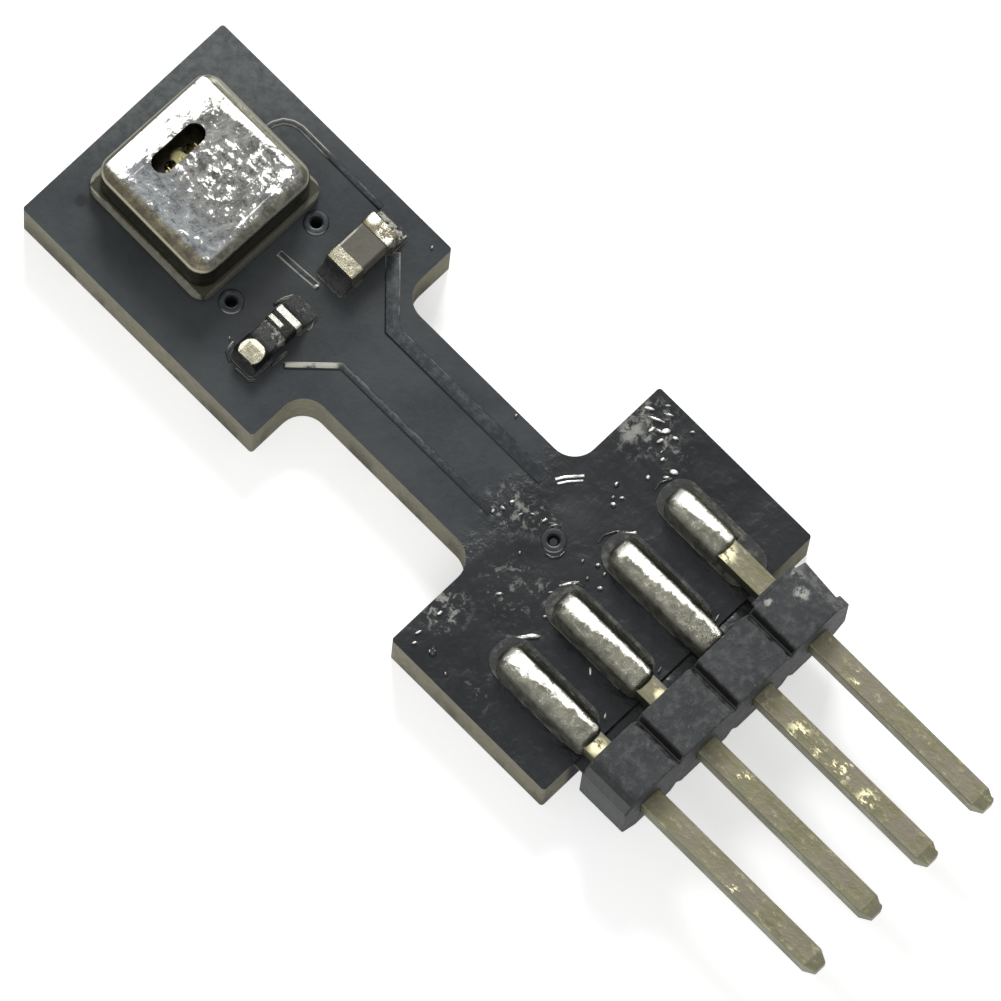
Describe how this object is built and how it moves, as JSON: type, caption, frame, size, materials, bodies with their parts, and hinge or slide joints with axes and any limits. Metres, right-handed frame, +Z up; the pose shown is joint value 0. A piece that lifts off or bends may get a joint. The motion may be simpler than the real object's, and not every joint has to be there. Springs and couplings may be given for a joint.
{
  "type": "temperature humidity sensor module",
  "caption": "Dumbbell-shaped circuit board with a vented metal sensor package on its head, a narrow neck, and a plate that ends in a straight single-row pin header.",
  "frame": {"origin": "on the board's underside, at its front edge, in line with the middle of the pin row", "axes": "+X along the pin row towards the last pin, +Y from the pins to the sensor along the board, +Z up, out of the face that carries the sensor"},
  "size_m": [0.0061, 0.018, 0.0021],
  "materials": {
    "board": "satin black solder mask over glass laminate",
    "block": "matte moulded",
    "pin": "dull pale gold flash",
    "land": "tinned",
    "solder": "bright, slightly uneven",
    "carrier": "matte laminate",
    "lid": "nickel finish, scratched and mottled",
    "die": "polished silicon",
    "wire": "bright gold",
    "capacitor": "matte ceramic",
    "resistor": "matte glass coat",
    "chip_end": "tinned"
  },
  "bodies": {
    "root": {"bond_wire_1": "wire", "bond_wire_2": "wire", "bond_wire_3": "wire", "capacitor_body": "capacitor", "capacitor_end_left": "chip_end", "capacitor_end_right": "chip_end", "capacitor_land_left": "land", "capacitor_land_right": "land", "capacitor_solder_left": "solder", "capacitor_solder_right": "solder", "circuit_board": "board", "circuit_die": "die", "header_block": "block", "pin_1": "pin", "pin_2": "pin", "pin_3": "pin", "pin_4": "pin", "pin_land_1": "land", "pin_land_2": "land", "pin_land_3": "land", "pin_land_4": "land", "pin_solder_1": "solder", "pin_solder_2": "solder", "pin_solder_3": "solder", "pin_solder_4": "solder", "resistor_body": "resistor", "resistor_end_left": "chip_end", "resistor_end_right": "chip_end", "resistor_land_left": "land", "resistor_land_right": "land", "resistor_solder_left": "solder", "resistor_solder_right": "solder", "sensing_die": "die", "sensor_carrier": "carrier", "sensor_joints": "solder", "sensor_lid": "lid"}
  },
  "joints": []
}
